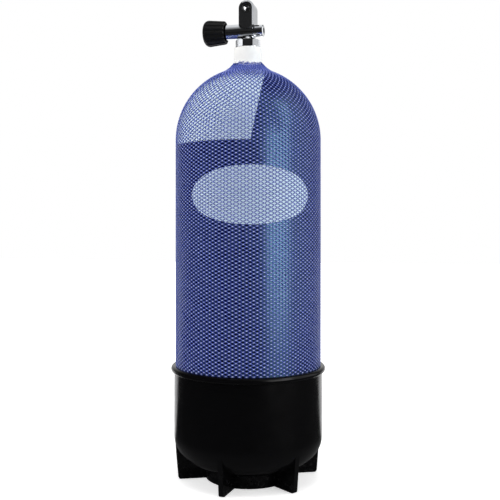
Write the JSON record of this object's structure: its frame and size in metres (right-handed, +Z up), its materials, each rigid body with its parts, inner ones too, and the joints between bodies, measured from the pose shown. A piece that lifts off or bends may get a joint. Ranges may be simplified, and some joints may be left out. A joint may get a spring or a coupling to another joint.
{
  "type": "scuba tank",
  "caption": "Upright steel diving cylinder in a blue net sleeve and a black finned boot, with a chromed yoke valve whose side handwheel opens and shuts the air.",
  "frame": {"origin": "on the floor under the cylinder's axis, at the foot of the boot", "axes": "+Z up along the cylinder's axis, the valve's outlet faces -Y, the handwheel points to -X"},
  "size_m": [0.22, 0.22, 0.6768],
  "materials": {
    "cylinder_paint": "dark blue gloss paint, white on the neck and one side of the shoulder",
    "net_cord": "pale blue knotted twine",
    "boot_rubber": "black moulded rubber, slightly glossy",
    "valve_chrome": "bright chrome plating on brass",
    "seal_rubber": "black nitrile",
    "tube_plastic": "natural nylon",
    "slip_plastic": "white low-friction plastic",
    "stem_brass": "turned brass",
    "wheel_plastic": "black moulded plastic",
    "grip_rubber": "black moulded rubber, matt",
    "plain_steel": "stainless steel"
  },
  "bodies": {
    "tank": {"steel_cylinder": "cylinder_paint", "net": "net_cord", "boot": "boot_rubber", "valve_body": "valve_chrome", "neck_oring": "seal_rubber", "dip_tube": "tube_plastic", "outlet_oring": "seal_rubber", "bonnet": "valve_chrome", "bonnet_oring": "seal_rubber", "thrust_washer": "slip_plastic", "blanking_plug": "valve_chrome", "plug_oring": "seal_rubber"},
    "handwheel": {"stem": "stem_brass", "stem_orings": "seal_rubber", "handwheel_core": "wheel_plastic", "handwheel_grip": "grip_rubber", "handwheel_spring": "plain_steel", "spring_washer": "plain_steel", "handwheel_nut": "plain_steel", "handwheel_cap": "wheel_plastic"},
    "seat": {"seat_carrier": "stem_brass", "seat_insert": "slip_plastic"}
  },
  "joints": [
    {"name": "handwheel_turn", "type": "hinge", "parent": "tank", "child": "handwheel", "pos_m": [-0.045, 0, 0.6345], "axis": [-1, 0, 0], "range_deg": [0, 900]},
    {"name": "seat_lift", "type": "slide", "parent": "handwheel", "child": "seat", "axis": [-1, 0, 0], "range_m": [0, 0.0026]}
  ],
  "couplings": [
    {"joint": "seat_lift", "follows": "handwheel_turn", "m_per_rad": 0.00015915}
  ]
}
